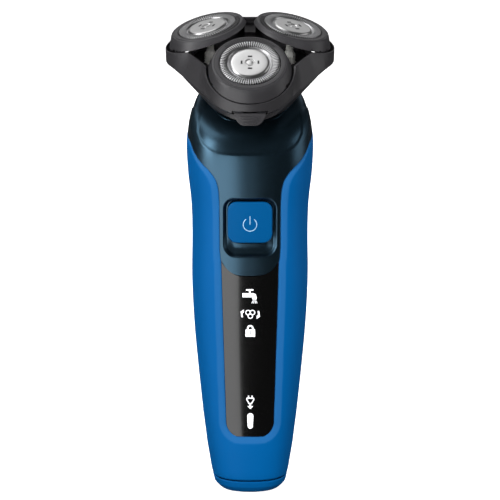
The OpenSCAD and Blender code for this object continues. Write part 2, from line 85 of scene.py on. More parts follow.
camera_data = bpy.data.cameras.new("studio_camera")
camera = bpy.data.objects.new("studio_camera", camera_data)
scene.collection.objects.link(camera)
scene.camera = camera
AIM = Vector((0, 0, 0.0905))
CAMERA_RISE = math.radians(14)
CAMERA_DISTANCE = 0.62
camera_data.lens = 123.55
camera_data.sensor_width = 36
camera_data.clip_start = 0.01
toward = Vector((0, -math.cos(CAMERA_RISE), math.sin(CAMERA_RISE)))
camera.location = AIM + CAMERA_DISTANCE * toward
camera.rotation_euler = (AIM - camera.location).to_track_quat("-Z", "Y").to_euler()


def softbox(name, place, aim, size, power, tint=(1, 1, 1)):
    data = bpy.data.lights.new(name, "AREA")
    data.shape = "RECTANGLE"
    data.size, data.size_y = size
    data.energy = power
    data.color = tint
    lamp = bpy.data.objects.new(name, data)
    lamp.location = place
    lamp.rotation_euler = (Vector(aim) - Vector(place)).to_track_quat("-Z", "Y").to_euler()
    scene.collection.objects.link(lamp)
    return lamp


softbox("key_left", (-0.8, -0.36, 0.34), (0, 0, 0.09), (0.36, 0.9), 5.0).visible_diffuse = False
softbox("key_front", (-0.53, -0.92, 0.5), (0, 0, 0.1), (0.5, 0.6), 12.0).visible_glossy = False
softbox("fill_right", (0.46, -0.98, 0.4), (0, 0, 0.1), (0.5, 0.6), 6.8).visible_glossy = False
softbox("side_right", (0.85, 0.0, 0.24), (0, 0, 0.09), (0.5, 0.9), 1.3)
softbox("top_light", (-0.4, 0.1, 1.1), (0, 0, 0.12), (0.9, 0.9), 4.2)
softbox("rear_top", (0, 1.0, 0.95), (0, 0, 0.14), (1.2, 0.6), 1.3)
softbox("rear_left", (-0.7, 0.95, 0.5), (0, 0, 0.1), (0.5, 0.7), 9.0).visible_glossy = False
softbox("rear_right", (0.75, 0.85, 0.4), (0, 0, 0.1), (0.5, 0.7), 5.0).visible_glossy = False
world = bpy.data.worlds.new("studio_air")
scene.world = world
world.use_nodes = True
world.node_tree.nodes["Background"].inputs["Color"].default_value = (1, 1, 1, 1)
world.node_tree.nodes["Background"].inputs["Strength"].default_value = 0.04
scene.view_settings.view_transform = "Standard"


class Wire:
    """One output of a shader node. Sums and products of wires add the Math nodes they need."""

    def __init__(self, tree, socket):
        self.tree, self.socket = tree, socket

    def math(self, operation, other=None):
        return node(self.tree, "ShaderNodeMath", {"operation": operation}, {0: self, 1: other})

    def __add__(self, other):
        return self.math("ADD", other)

    def __mul__(self, other):
        return self.math("MULTIPLY", other)

    def __sub__(self, other):
        return self.math("SUBTRACT", other)

    def __rsub__(self, other):
        return node(self.tree, "ShaderNodeMath", {"operation": "SUBTRACT"}, {0: other, 1: self})

    __radd__ = __add__
    __rmul__ = __mul__


def node(tree, kind, settings=None, values=None, out=0):
    """Adds one shader node, sets it up, fills its sockets and returns one of its outputs."""
    made = tree.nodes.new(kind)
    for key, value in (settings or {}).items():
        if key == "stops":
            ramp = made.color_ramp
            ramp.elements[0].position, ramp.elements[0].color = value[0]
            ramp.elements[1].position, ramp.elements[1].color = value[-1]
            for place, colour in value[1:-1]:
                ramp.elements.new(place).color = colour
        else:
            setattr(made, key, value)
    for key, value in (values or {}).items():
        if value is None:
            continue
        if isinstance(value, Wire):
            tree.links.new(value.socket, made.inputs[key])
        else:
            made.inputs[key].default_value = value
    return Wire(tree, made.outputs[out])


def finish(name, build, **steady):
    """A material: build(tree) gives the varying sockets, steady gives the uniform ones."""
    material = bpy.data.materials.new(name)
    material.use_nodes = True
    tree = material.node_tree
    shader = tree.nodes["Principled BSDF"]
    for key, value in steady.items():
        shader.inputs[key.replace("_", " ")].default_value = value
    for key, value in build(tree).items():
        if isinstance(value, Wire):
            tree.links.new(value.socket, shader.inputs[key])
        else:
            shader.inputs[key].default_value = value
    return material


def shade(colour, factor):
    return tuple(min(1, c * factor) for c in colour[:3]) + (1,)


def moulded(colour, rough, grain=0.25, scale=2600, mottle=0.06, spread=0.05):
    """Moulded plastic: a fine spark-eroded grain, a faint drift of tone and of gloss."""
    def build(tree):
        place = node(tree, "ShaderNodeTexCoord", out=3)
        fine = node(tree, "ShaderNodeTexNoise", {}, {"Vector": place, "Scale": scale, "Detail": 3.0})
        drift = node(tree, "ShaderNodeTexNoise", {}, {"Vector": place, "Scale": 55.0, "Detail": 4.0})
        tone = node(tree, "ShaderNodeMix", {"data_type": "RGBA"},
                    {0: drift, 6: shade(colour, 1 - mottle), 7: shade(colour, 1 + mottle)}, out=2)
        bump = node(tree, "ShaderNodeBump", {}, {"Height": fine, "Strength": grain, "Distance": 0.00004})
        return {"Base Color": tone, "Roughness": drift * (2 * spread) + (rough - spread), "Normal": bump}
    return build


# Colours are linear. The sweep is a plain matt paper.
PAPER = (0.86, 0.86, 0.86, 1)
sweep_paper = finish("sweep_paper", moulded(PAPER, 0.9, 0.05, 900), Specular_IOR_Level=0.0,
                     Emission_Color=(1, 1, 1, 1), Emission_Strength=0.9)
for sheet in (studio_floor, floor_card):
    sheet.data.materials.append(sweep_paper)

# ---- Grip housing ----
# The blue outer shell: one injection-moulded tube, open at the front for the cover and the
# lens, with a sloping edge round that opening that carries a painted sheen. The bottom cap closes its lower
# end.
STATIONS = [(0, 7.8, -7.2, 6.8), (1.3, 11.1, -10.1, 9.3), (3.6, 13.2, -12, 10.9),
            (9, 14.4, -13.2, 12), (18, 15.8, -14.3, 13.3), (30, 17.25, -15.3, 14.9),
            (47, 18.9, -16.2, 16.9), (64, 20.3, -17, 18.9), (81, 21, -17.6, 20.8),
            (98, 20.8, -18.2, 22.4), (109, 21.1, -18.6, 23.4), (120, 22.2, -19.6, 24.2),
            (130, 22.55, -20.2, 24.4), (137, 21.9, -18.3, 23.8), (142, 20.7, -15.6, 22.8),
            (147, 18.9, -12.6, 21), (153, 16, -9, 18), (160, 12, -5, 14)]
SECTION_POWER = 2.5
SEAM_LOW = 6.2
HEAD_TILT = math.radians(21.5)
HEAD_ORIGIN = Vector((0, -4, 167.84))
NECK_DROP = 24.2
SKIN_STEP = 0.05


def smooth_read(table, z):
    """Catmull-Rom reading of a table of rows, the first number of each being the height."""
    i = 0
    while i < len(table) - 2 and z >= table[i + 1][0]:
        i += 1
    a, b, c, d = (table[min(max(k, 0), len(table) - 1)] for k in (i - 1, i, i + 1, i + 2))
    t = (z - b[0]) / (c[0] - b[0])
    return [q + 0.5 * t * (r - p + t * (2 * p - 5 * q + 4 * r - s + t * (3 * (q - r) + s - p)))
            for p, q, r, s in zip(a[1:], b[1:], c[1:], d[1:])]


def blend_step(low, high, x):
    t = min(max((x - low) / (high - low), 0), 1)
    return t * t * (3 - 2 * t)


def bent(v):
    return math.copysign(abs(v) ** (2 / SECTION_POWER), v)


SECTIONS = [smooth_read(STATIONS, SKIN_STEP * i) for i in range(int(160 / SKIN_STEP) + 2)]


def section(z):
    """Half width, front and back of the grip at a height, read from a fine table."""
    i = min(max(int(z / SKIN_STEP), 0), len(SECTIONS) - 2)
    t = z / SKIN_STEP - i
    a, b = SECTIONS[i], SECTIONS[i + 1]
    return a[0] + t * (b[0] - a[0]), a[1] + t * (b[1] - a[1]), a[2] + t * (b[2] - a[2])


def skin(turn, z, inset=0.0):
    """A point on the grip, turn degrees round from the front centre, moved in by inset."""
    half, front, back = section(z)
    mid, deep = (front + back) / 2, (back - front) / 2
    angle = math.radians(turn - 90)
    x, y = half * bent(math.cos(angle)), deep * bent(math.sin(angle))
    if inset == 0:
        return Vector((x, mid + y, z))
    nx = math.copysign(abs(x / half) ** (SECTION_POWER - 1) / half, x)
    ny = math.copysign(abs(y / deep) ** (SECTION_POWER - 1) / deep, y)
    length = math.hypot(nx, ny)
    return Vector((x - inset * nx / length, mid + y - inset * ny / length, z))


def turn_at(x, z):
    """How far round from the front centre a point lies, from its distance to the side."""
    half = section(z)[0]
    turn = math.degrees(math.asin(min(1, abs(x) / half) ** (SECTION_POWER / 2)))
    return turn if x > 0 else -turn


def neck_cut(turn):
    """Height at which the neck plane cuts the grip at this turn."""
    z = 145.0
    for step in range(12):
        y = skin(turn, z).y
        z = HEAD_ORIGIN.z - NECK_DROP / math.cos(HEAD_TILT)
        z += (y - HEAD_ORIGIN.y) * math.tan(HEAD_TILT)
    return z


NECK_HEIGHTS = [neck_cut(turn) for turn in range(0, 182)]


def neck_height(turn):
    """The same, read from a table with one entry for each degree."""
    turn = min(abs(turn), 180)
    i = int(turn)
    return NECK_HEIGHTS[i] + (turn - i) * (NECK_HEIGHTS[i + 1] - NECK_HEIGHTS[i])


def patch(across, along, place):
    """A grid of quads laid over a surface: place(u, v) gives the point for u and v in 0..1."""
    bm = bmesh.new()
    bmesh.ops.create_grid(bm, x_segments=across, y_segments=along, size=0.5)
    for vert in bm.verts:
        vert.co = place(vert.co.x + 0.5, vert.co.y + 0.5) * MM
    bmesh.ops.remove_doubles(bm, verts=bm.verts[:], dist=1e-7)
    bmesh.ops.recalc_face_normals(bm, faces=bm.faces[:])
    return bm


def settle(name, bm, material, body, slot, *replaced, flat=None):
    """Turns a finished bmesh into a piece that rides on a body and stands for CAD nodes."""
    mesh = bpy.data.meshes.new(name)
    bm.to_mesh(mesh)
    bm.free()
    mesh.polygons.foreach_set("use_smooth", [True] * len(mesh.polygons))
    if flat is not None:
        mesh.set_sharp_from_angle(angle=math.radians(flat))
    piece = bpy.data.objects.new(name, mesh)
    scene.collection.objects.link(piece)
    for entry in material if isinstance(material, list) else [material]:
        mesh.materials.append(entry)
    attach(piece, body)
    if replaced:
        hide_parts(*replaced)
    return piece


def thicken(piece, depth):
    wall = piece.modifiers.new("wall", "SOLIDIFY")
    wall.thickness = depth * MM
    wall.offset = -1
    return wall


def neck_round(turn, z, inset, skirt=0.0):
    """A point of the shoulders near the neck: they bend smoothly over towards the deck."""
    top = neck_height(turn) - 0.02
    drop = 6.5 - 5.3 * blend_step(50, 112, abs(turn))
    reach = 8.0 - 7.0 * blend_step(50, 112, abs(turn))
    if z < top - drop:
        return skin(turn, z, inset)
    t = min(1, (z - top + drop) / drop)
    start, corner = skin(turn, top - drop, inset), skin(turn, top, inset)
    axis = HEAD_ORIGIN + NECK_DROP * Vector((0, math.sin(HEAD_TILT), -math.cos(HEAD_TILT)))
    end = corner + (axis - corner).normalized() * reach
    point = start * (1 - t) ** 2 + corner * (2 * t * (1 - t)) + end * t * t
    return point + (axis - corner).normalized() * skirt


LENS_LOW = 23.9
LENS_HIGH = 90.9
LENS_TOP_HALF = 10.7
LENS_LOW_HALF = 9.0
LENS_CORNER = 5.6
LENS_DIP = 5.7
BACK_TURN = 112.0
OPENING_SIDE = [(88, 10.72), (91, 10.8), (94.6, 11.05), (105.5, 11.1), (112, 11.15), (116.7, 11.45),
                (119.5, 12.2), (121.6, 13.45), (123.6, 15.2), (124.8, 16.7), (126.6, 18.5),
                (129.2, 20.15), (132, 21.25), (134, 21.75), (137, 21.8)]


def opening_half(z):
    """Half width of the front opening where lens and cover sit."""
    if z < LENS_HIGH:
        rise = z - LENS_LOW
        half = LENS_LOW_HALF + (LENS_TOP_HALF - LENS_LOW_HALF) * rise / (LENS_HIGH - LENS_LOW)
        if rise < LENS_CORNER:
            gap = LENS_CORNER - max(rise, 0)
            half -= LENS_CORNER - math.sqrt(max(LENS_CORNER ** 2 - gap ** 2, 0))
        return half
    return smooth_read(OPENING_SIDE, min(z, 134))[0]


def opening_turn(z):
    """How far round the opening reaches at each height: past the sides at the shoulders."""
    front = turn_at(opening_half(z), z)
    share = blend_step(131.0, 137.5, z)
    return front + (BACK_TURN - front) * share


def low_points(count):
    return [skin(turn_at(x, LENS_LOW), LENS_LOW)
            for x in (opening_half(LENS_LOW) * (2 * i / count - 1) for i in range(count + 1))]


rim_points = low_points(60)
RIM_STEP = 0.12
for i in range(int((152 - LENS_LOW) / RIM_STEP)):
    z = LENS_LOW + RIM_STEP * i
    rim_points += [skin(opening_turn(z), z), skin(-opening_turn(z), z)]
rim = KDTree(len(rim_points))
for i, point in enumerate(rim_points):
    rim.insert(point, i)
rim.balance()

BAND = 2.3
PANEL_SINK = 0.75
EDGE_LIP = 0.5


def in_opening(turn, z):
    return z > LENS_LOW and abs(turn) < opening_turn(z)


def band_width(z):
    """The sloping band narrows where it runs up to the shoulders."""
    return BAND * (1 - 0.75 * blend_step(118, 131, z))


def rolled(gap, radius):
    """How far an edge is rounded away at a distance from it."""
    return radius - math.sqrt(max(radius ** 2 - (radius - gap) ** 2, 0)) if gap < radius else 0


def grip_inset(turn, z):
    """Depth of the sloping band round the opening, and of the ledge under the panels."""
    away = rim.find(skin(turn, z))[2]
    if in_opening(turn, z):
        return PANEL_SINK + 0.9 * min(away / 0.5, 1)
    slope = max(0, 1 - away / band_width(z))
    return PANEL_SINK * slope * (1 - 0.5 * blend_step(128, 136, z))


def grip_place(u, v):
    turn = 360 * u - 180
    top = neck_height(turn) - 0.05
    low = SEAM_LOW + 0.15
    z = low + (top - low) * v
    return neck_round(turn, z, grip_inset(turn, z) + rolled(z - low, EDGE_LIP))


BLUE = (0.0006, 0.116, 0.37)
# Painted sheen: the sloping band gets this paler blue in place of the light it catches from the front.
BAND_SHEEN_BLUE = (0.016, 0.138, 0.385)


def blue_with_painted_band_sheen(tree):
    """The blue of the grip, with a painted sheen: a paler blue on the sloping band stands in for the light it
    catches.
    """
    made = moulded(BLUE, 0.5, 0.18, 3200, 0.03, 0.03)(tree)
    share = node(tree, "ShaderNodeAttribute", {"attribute_name": "band"}, out=2)
    made["Base Color"] = node(tree, "ShaderNodeMix", {"data_type": "RGBA"},
                              {0: share, 6: made["Base Color"], 7: shade(BAND_SHEEN_BLUE, 1)}, out=2)
    return made


blue_plastic = finish("blue_soft_plastic", blue_with_painted_band_sheen, Specular_IOR_Level=0.1)
bm = patch(230, 240, grip_place)
# The band attribute marks where the painted sheen colour is laid on the grip.
layer = bm.verts.layers.float.new("band")
for vert in bm.verts:
    place = vert.co / MM
    if place.y < 4:
        band = band_width(place.z)
        vert[layer] = 1 - blend_step(band - 0.2, band + 0.25, rim.find(place)[2])
opened = []
for face in bm.faces:
    centre = face.calc_center_median() / MM
    turn = math.degrees(math.atan2(centre.x, -(centre.y - 1.0)))
    if centre.z > LENS_LOW + 3.5 and abs(turn) < 100:
        nearest = rim.find(skin(turn_at(centre.x, centre.z), centre.z) if centre.y < 0 else centre)[2]
        if nearest > 1.7 and abs(centre.x) < opening_half(centre.z):
            opened.append(face)
bmesh.ops.delete(bm, geom=opened, context="FACES")
grip = settle("grip_housing_shell", bm, blue_plastic, "handle", "grip_blue", "grip_housing")
thicken(grip, 1.1)

# ---- Bottom cap ----
# A shallow blue cup that plugs into the grip with a fine dark seam. It carries the
# charging inlet in the middle of its flat foot.
CAP_TOP = SEAM_LOW - 0.1
CAP_LIP = 0.4
INLET_HALF = (5.0, 3.4)


def cap_place(u, v):
    turn = 360 * u - 180
    foot = 0.34
    if v < foot:
        share = v / foot
        rim_point = skin(turn, 0.02, 0.25)
        angle = math.radians(turn - 90)
        reach = INLET_HALF[0] - INLET_HALF[1]
        hole = Vector((INLET_HALF[1] * math.cos(angle) + reach * math.copysign(1, math.cos(angle))
                       * min(1, abs(math.cos(angle)) * 3), INLET_HALF[1] * math.sin(angle), 0.02))
        return hole.lerp(rim_point, share)
    z = CAP_TOP * ((v - foot) / (1 - foot)) ** 1.6
    if z < 0.02:
        return skin(turn, 0.02, 0.12)
    return skin(turn, z, rolled(CAP_TOP - z, CAP_LIP))


cap_blue = finish("blue_cap_plastic", moulded(shade(BLUE, 0.86), 0.5, 0.18, 3200, 0.03, 0.03),
                  Specular_IOR_Level=0.1)
cap = settle("bottom_cap_shell", patch(200, 60, cap_place), cap_blue, "handle", "grip_blue",
             "bottom_cap")
thicken(cap, 0.9)

# ---- Front cover ----
# Dark teal semi-gloss moulding over the upper front. Its shoulders dome back to the neck
# above an arched ridge, and it holds the scooped well of the power button.
BUTTON_LEVEL = 104.85
WELL = (9.35, 10.5, 4.1)
WELL_CENTRE = BUTTON_LEVEL - 1.85
RIDGE = [(0, 129.0), (5.2, 129.05), (10.35, 129.4), (13.5, 130.15), (16.7, 131.8), (18.8, 134.0),
         (20, 137.3), (20.4, 140)]
COVER_SINK = 0.42
COVER_ROLL = 0.45


def lens_arc(x):
    return LENS_HIGH - LENS_DIP * (1 - min(1, abs(x / LENS_TOP_HALF) ** 3))


def rounded_gap(x, z, half_x, half_z, corner):
    """Signed distance outside a rounded rectangle."""
    qx, qz = abs(x) - half_x + corner, abs(z) - half_z + corner
    return math.hypot(max(qx, 0), max(qz, 0)) + min(max(qx, qz), 0) - corner


def ridge_height(x):
    x = abs(x)
    if x >= RIDGE[-1][0]:
        return RIDGE[-1][1] + 3 * (x - RIDGE[-1][0])
    return smooth_read(RIDGE, x)[0]


def cover_inset(point, x, z):
    inset = COVER_SINK * (1 - 0.75 * blend_step(112, 130, z))
    above = z - ridge_height(x)
    inset += 0.34 * blend_step(-0.1, 0.7, above)
    gap = rounded_gap(x, z - WELL_CENTRE, *WELL)
    if gap < 0.9 and point.y < 0:
        inset += 1.15 * blend_step(0.35, -0.75, gap)
        inset += 0.9 * blend_step(0.5, -3.4, gap) * blend_step(WELL_CENTRE - 1, WELL_CENTRE - 8.5, z)
        pocket = rounded_gap(x, z - BUTTON_LEVEL, 8.2, 7.7, 3.6)
        inset += 2.0 * blend_step(0.1, -0.1, pocket)
    return inset


def cover_place(u, v):
    side = 2 * u - 1
    share = v * 1.06
    z_guess = LENS_HIGH + (140 - LENS_HIGH) * min(share, 1)
    edge_turn = opening_turn(z_guess) - 0.35
    turn = side * edge_turn
    if z_guess < 112:
        x = side * (opening_half(z_guess) - 0.06)
        turn = turn_at(x, z_guess) if abs(x) > 1e-6 else 0
    x_here = skin(turn, z_guess).x
    start = lens_arc(x_here) + 0.05
    top = neck_height(turn) - 0.02
    z = start + (top - start) * min(share, 1)
    edge_turn = opening_turn(z) - 0.35
    turn = side * edge_turn
    base = skin(turn, z)
    side_gap = (1 - abs(side)) * math.radians(edge_turn) * 20
    inset = cover_inset(base, base.x, z) + rolled(side_gap, COVER_ROLL) + rolled(z - start, COVER_ROLL)
    return neck_round(turn, z, inset, 3.0 * max(0, share - 1) / 0.06)


TEAL = (0.05, 0.1, 0.145)
teal_plastic = finish("teal_pearl_plastic", moulded(TEAL, 0.33, 0.08, 3600, 0.05, 0.03), Metallic=0.97)
cover = settle("front_cover_shell", patch(240, 200, cover_place), teal_plastic, "handle",
               "cover_teal", "front_cover", "button_bezel")
thicken(cover, 0.8)

# The deck under the shaving unit belongs to the cover: a flat ring round the neck.
DECK_HOLE = 13.5


def head_point(x, y, z):
    """From the tilted axes of the shaving unit to the shaver's own, in millimetres."""
    turned = Matrix.Rotation(HEAD_TILT, 4, "X") @ Vector((x, y, z))
    return HEAD_ORIGIN + turned


def deck_place(u, v):
    turn = 360 * u - 180
    outer = neck_round(turn, neck_height(turn), 0.6)
    local = Matrix.Rotation(-HEAD_TILT, 4, "X") @ (outer - HEAD_ORIGIN)
    inner = Vector((local.x, local.y, 0)).normalized() * DECK_HOLE
    flat = inner.lerp(Vector((local.x, local.y, 0)), v)
    return head_point(flat.x, flat.y, -NECK_DROP - 0.03)


deck = settle("neck_deck", patch(160, 12, deck_place), teal_plastic, "handle", "cover_teal")
thicken(deck, 1.4)

# ---- Display lens ----
# Smoked, polished panel let into the front below the cover, with lit marks behind it.
LENS_SINK = 0.6


def lens_place(u, v):
    side = 2 * u - 1
    z_guess = LENS_LOW + 0.1 + (LENS_HIGH - LENS_LOW) * v
    half = opening_half(z_guess) - 0.1
    x = side * half
    top = lens_arc(x) - 0.05
    z = LENS_LOW + 0.1 + (top - LENS_LOW - 0.1) * v
    x = side * (opening_half(z) - 0.1)
    turn = turn_at(x, z) if abs(x) > 1e-6 else 0
    inset = LENS_SINK + rolled((1 - abs(side)) * half, EDGE_LIP) + rolled(z - LENS_LOW - 0.1, EDGE_LIP)
    return skin(turn, z, inset)


SMOKE = (0.0007, 0.0007, 0.0008)
smoke_gloss = finish("smoked_lens", moulded(SMOKE, 0.2, 0.01, 900, 0.1, 0.02), Specular_IOR_Level=0.6,
                     Coat_Weight=0.6, Coat_Roughness=0.1)
lens = settle("display_lens_panel", patch(120, 300, lens_place), smoke_gloss, "handle",
              "black_gloss", "display_lens")
thicken(lens, 0.9)

# ---- Lit marks of the display ----
# Clear inlays lit from behind: a running tap, three heads in a swing, a padlock, a plug
# with an arrow, and the charge bar. Each is a thin flat shape laid on the lens.
MARK_LIFT = 0.04
MARK_THICK = 0.12


def flat_box(bm, x, z, wide, tall, turn=0.0):
    place = Matrix.Translation((x, 0, z)) @ Matrix.Rotation(turn, 4, "Y")
    bmesh.ops.create_cube(bm, size=1, matrix=place @ Matrix.Diagonal((wide, 1, tall, 1)))


def flat_arc(bm, x, z, radius, wide, start, sweep, steps=14):
    """A bent bar: a small upright rectangle spun about the mark's own axis."""
    corners = [bm.verts.new((x + radius + a, b, z)) for a, b in
               ((-wide / 2, -0.5), (wide / 2, -0.5), (wide / 2, 0.5), (-wide / 2, 0.5))]
    face = bm.faces.new(corners)
    bmesh.ops.rotate(bm, verts=corners, cent=(x, 0, z), matrix=Matrix.Rotation(-start, 3, "Y"))
    bmesh.ops.spin(bm, geom=[face] + face.edges[:] + corners, cent=(x, 0, z), axis=(0, -1, 0),
                   angle=sweep, steps=steps)


def flat_shape(bm, corners):
    """A flat outline, given as x and z from one corner to the next, with some depth."""
    face = bm.faces.new([bm.verts.new((x, -0.5, z)) for x, z in corners])
    back = bmesh.ops.extrude_face_region(bm, geom=[face])["geom"]
    bmesh.ops.translate(bm, vec=(0, 1, 0), verts=[g for g in back if isinstance(g, bmesh.types.BMVert)])


def draw_tap(bm, z):
    flat_box(bm, -0.2, z + 1.95, 2.6, 0.55)
    flat_box(bm, -0.2, z + 1.2, 0.52, 1.0)
    flat_box(bm, -1.05, z, 3.5, 1.5)
    flat_arc(bm, 0.7, z - 0.75, 0.78, 1.5, 0.0, math.pi / 2, 12)
    flat_box(bm, 1.48, z - 1.15, 1.5, 0.8)
    for i in range(4):
        lean = (i - 1.5) * 0.3
        flat_box(bm, 1.5 + (i - 1.5) * 0.47, z - 2.45, 0.2, 1.15, -lean)


def draw_heads(bm, z):
    for x, rise in ((-0.78, 0.62), (0.78, 0.62), (0, -0.68)):
        flat_arc(bm, x, z + rise, 0.83, 0.3, 0.0, 2 * math.pi, 24)
    for side in (-1, 1):
        middle = 0 if side > 0 else math.pi
        flat_arc(bm, 0, z, 3.05, 0.55, middle - 0.38, 0.76, 12)
        flat_shape(bm, [(side * 3.65, z - side * 0.75), (side * 2.3, z - side * 0.55),
                        (side * 2.3, z - side * 1.75)])


def draw_lock(bm, z):
    flat_box(bm, 0, z + 1.1, 3.4, 0.5)
    flat_box(bm, 0, z - 0.98, 3.4, 0.75)
    for side in (-1, 1):
        flat_box(bm, side * 0.92, z + 0.15, 1.56, 1.6)
        flat_box(bm, side * 0.9, z + 1.55, 0.55, 0.6)
    flat_arc(bm, 0, z + 1.8, 0.9, 0.55, 0.0, math.pi, 14)


def draw_plug(bm, z):
    flat_box(bm, 0, z + 1.05, 2.7, 0.36)
    flat_box(bm, 0, z - 1.05, 1.0, 0.36)
    for side in (-1, 1):
        flat_box(bm, side * 0.64, z + 1.6, 0.38, 0.9)
        flat_shape(bm, [(side * 1.2, z + 1.2), (side * 1.5, z + 0.7), (side * 1.3, z + 0.2),
                        (side * 0.55, z - 1.2), (side * 0.25, z - 1.0), (side * 0.98, z + 0.3),
                        (side * 1.12, z + 0.7), (side * 0.95, z + 0.95)])
    flat_box(bm, 0, z - 1.75, 0.5, 0.8)
    flat_shape(bm, [(-1.05, z - 2.0), (1.05, z - 2.0), (0, z - 3.2)])


def draw_bar(bm, z):
    for end, half in ((1, 1.13), (-1, 0.93)):
        flat_arc(bm, 0, z + end * (3.0 - half), half / 2, half, 0 if end > 0 else math.pi, math.pi, 14)
    flat_shape(bm, [(-1.13, z + 1.87), (1.13, z + 1.87), (0.93, z - 2.07), (-0.93, z - 2.07)])


def lay_on_grip(bm, inset, thick):
    """Bends flat marks onto the front of the grip, thick millimetres deep."""
    for vert in bm.verts:
        x, depth, z = vert.co
        turn = turn_at(x, z) if abs(x) > 1e-6 else 0
        vert.co = skin(turn, z, inset + depth * thick) * MM


glow = finish("lit_mark", lambda tree: {
    "Emission Color": node(tree, "ShaderNodeMix", {"data_type": "RGBA"}, {
        0: node(tree, "ShaderNodeTexNoise", {},
                {"Vector": node(tree, "ShaderNodeTexCoord", out=3), "Scale": 900.0}),
        6: (0.92, 0.95, 1, 1), 7: (1, 1, 1, 1)}, out=2)},
    Base_Color=(0.8, 0.82, 0.85, 1), Roughness=0.3, Emission_Strength=1.0)
bm = bmesh.new()
MARKS = ((draw_tap, 78.25), (draw_heads, 71.2), (draw_lock, 64.15), (draw_plug, 38.3), (draw_bar, 30.5))
for draw, level in MARKS:
    draw(bm, level)
bmesh.ops.translate(bm, vec=(0.1, 0, 0), verts=bm.verts[:])
lay_on_grip(bm, LENS_SINK - MARK_LIFT, MARK_THICK)
bmesh.ops.recalc_face_normals(bm, faces=bm.faces[:])
settle("display_marks", bm, glow, "handle", "mark_white", "display_icons", flat=30)

# ---- Power button ----
# A soft square key, slightly domed and rounded at its edge, moulded in a deeper blue, with
# a pale ring-and-bar mark printed on it, which also carries a faint painted glow.
BUTTON = (7.85, 7.35, 3.3)
BUTTON_FACE = -18.55
BUTTON_DEEP = 1.1


def squircle(angle, half_x, half_z, corner):
    """Distance from the centre to the edge of a rounded rectangle along a direction."""
    low_r, high_r = 0.0, half_x + half_z
    for step in range(26):
        mid_r = (low_r + high_r) / 2
        if rounded_gap(mid_r * math.cos(angle), mid_r * math.sin(angle), half_x, half_z, corner) > 0:
            high_r = mid_r
        else:
            low_r = mid_r
    return (low_r + high_r) / 2


def button_crown(x, z):
    """How far the domed face falls back from its middle."""
    return 0.55 * (x / BUTTON[0]) ** 2 + 0.12 * (z / BUTTON[1]) ** 2


def button_place(u, v):
    angle = 2 * math.pi * u
    reach = squircle(angle, *BUTTON)
    roll = 0.55
    walls = 0.12
    if v < walls:
        share, depth = 1.0, BUTTON_DEEP - (BUTTON_DEEP - roll) * v / walls
    else:
        sweep = (v - walls) / (1 - walls)
        if sweep < 0.25:
            bend = sweep / 0.25 * math.pi / 2
            share, depth = 1 - roll * (1 - math.cos(bend)) / reach, roll * (1 - math.sin(bend))
        else:
            share, depth = (1 - roll / reach) * (1 - (sweep - 0.25) / 0.75), 0.0
    x, z = share * reach * math.cos(angle), share * reach * math.sin(angle)
    return Vector((x, BUTTON_FACE + depth + button_crown(x, z), BUTTON_LEVEL + z))


KEY_BLUE = (0.0002, 0.086, 0.262)
key_plastic = finish("key_blue_plastic", moulded(KEY_BLUE, 0.42, 0.12, 3400, 0.03, 0.03),
                     Specular_IOR_Level=0.12)
bm = patch(160, 60, button_place)
settle("power_button_key", bm, key_plastic, "button", "button_blue", "power_button")

bm = bmesh.new()
flat_arc(bm, 0, BUTTON_LEVEL - 0.6, 2.35, 0.26, math.radians(127), math.radians(286), 48)
flat_box(bm, 0, BUTTON_LEVEL + 0.9, 0.26, 3.0)
for vert in bm.verts:
    x, depth, z = vert.co
    fall = button_crown(x, z - BUTTON_LEVEL) + 0.1 * depth - 0.03
    vert.co = Vector((x, BUTTON_FACE + fall, z)) * MM
bmesh.ops.recalc_face_normals(bm, faces=bm.faces[:])
# The print's pale blue is its own colour; its faint emission is a painted glow, since the mark is no lamp.
print_blue_painted_glow = finish("pale_blue_print_painted_glow", moulded((0.4, 0.62, 0.8), 0.4), Emission_Strength=0.1,
                    Emission_Color=(0.4, 0.7, 1, 1))
settle("power_mark", bm, print_blue_painted_glow, "button", "mark_blue", "power_symbol", flat=30)

# ---- Rear cover ----
# A soft black rubber panel let into the back of the grip, with a field of fine raised ribs
# that fade out at its ends.
REAR = (11.95, 51.95, 11.8)
REAR_CENTRE = 74.0
REAR_PROUD = 0.12
RIB_HIGH = 0.34
RIB_PITCH = 2.6


def rear_place(u, v):
    angle = 2 * math.pi * u
    reach = squircle(angle, *REAR)
    x, z = v * reach * math.cos(angle), REAR_CENTRE + v * reach * math.sin(angle)
    turn = 180 - turn_at(x, z) if abs(x) > 1e-6 else 180
    gap = -rounded_gap(x, z - REAR_CENTRE, *REAR)
    inset = rolled(gap, EDGE_LIP) - REAR_PROUD
    fade = blend_step(1.5, 4.5, gap)
    wave = 0.5 + 0.5 * math.cos(2 * math.pi * (z - 0.035 * x * x) / RIB_PITCH)
    return skin(turn, z, inset - RIB_HIGH * fade * blend_step(0.25, 0.75, wave))


rubber = finish("black_grip_rubber", moulded((0.012, 0.012, 0.013), 0.62, 0.35, 1800, 0.12, 0.05))
rear = settle("rear_cover_panel", patch(220, 200, rear_place), rubber, "handle", "black_matt",
              "rear_cover")
thicken(rear, 0.9)

# ---- Shaving unit: frame of the lid ----
# One charcoal moulding with three round collars, joined by flat cheeks and closed below by
# a bevel. The three heads sit on it and it opens at its rear hinge.
HEAD_RADIUS = 17.62
CAP_TILT = math.radians(15.5)


def petal_matrix(k):
    """Places a head's own axes, with the cap's face at height 0, on the shaver."""
    return (Matrix.Translation(HEAD_ORIGIN * MM) @ Matrix.Rotation(HEAD_TILT, 4, "X")
            @ Matrix.Rotation(math.radians(120 * k), 4, "Z") @ Matrix.Translation((0, -HEAD_RADIUS * MM, 0))
            @ Matrix.Rotation(CAP_TILT, 4, "X"))


